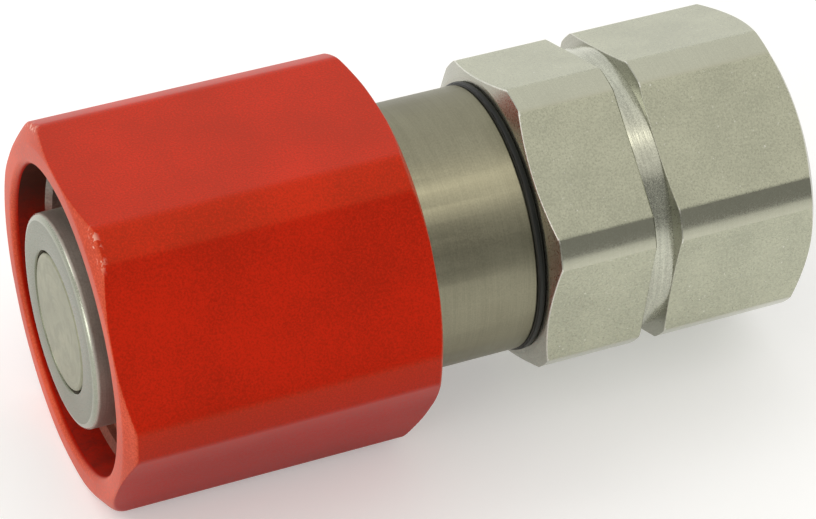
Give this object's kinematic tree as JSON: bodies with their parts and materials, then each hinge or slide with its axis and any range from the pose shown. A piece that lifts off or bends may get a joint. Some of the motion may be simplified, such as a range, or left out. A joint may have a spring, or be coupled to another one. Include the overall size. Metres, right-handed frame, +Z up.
{
  "type": "screw-to-connect coupling half",
  "caption": "Male half of a flat-face screw-to-connect fluid coupling: flush spring-loaded poppet, captive red hexagon nut, turned steel body and hexagon port adaptor.",
  "frame": {"origin": "centre of the flush mating face, on the coupling's axis", "axes": "+X along the coupling's axis from the mating face to the port, +Z up with the coupling lying on a flat of its nut"},
  "size_m": [0.1046, 0.055, 0.05],
  "materials": {
    "red_paint": "semi-gloss red coating on steel, scuffed at the front corners",
    "turned_steel": "fine turned steel",
    "poppet_steel": "satin turned steel",
    "plated_steel": "satin zinc-nickel plating on machined steel",
    "black_rubber": "matte nitrile rubber",
    "white_plastic": "plain",
    "bronze": "turned bronze",
    "spring_steel": "drawn wire"
  },
  "bodies": {
    "body": {"valve_body": "turned_steel", "nose_sleeve": "poppet_steel", "nose_seal": "black_rubber", "port_adaptor": "plated_steel", "joint_seal": "black_rubber", "poppet_guide": "turned_steel", "guide_circlip": "spring_steel", "poppet_spring": "spring_steel"},
    "thrust_washer": {"nut_thrust_washer": "bronze"},
    "nut": {"coupling_nut": "red_paint", "nut_wiper_ring": "black_rubber"},
    "poppet": {"poppet": "poppet_steel", "poppet_seal": "black_rubber", "poppet_backup_ring": "white_plastic"}
  },
  "joints": [
    {"name": "nut_slide", "type": "slide", "parent": "body", "child": "thrust_washer", "axis": [1, 0, 0], "range_m": [0, 0.0155]},
    {"name": "nut_spin", "type": "hinge", "parent": "thrust_washer", "child": "nut", "pos_m": [0.02, 0, 0], "axis": [1, 0, 0], "continuous": true},
    {"name": "poppet_slide", "type": "slide", "parent": "body", "child": "poppet", "axis": [1, 0, 0], "range_m": [0, 0.0095], "stiffness_N_per_m": 3000, "springref_m": -0.01, "deforming": ["poppet_spring"]}
  ]
}
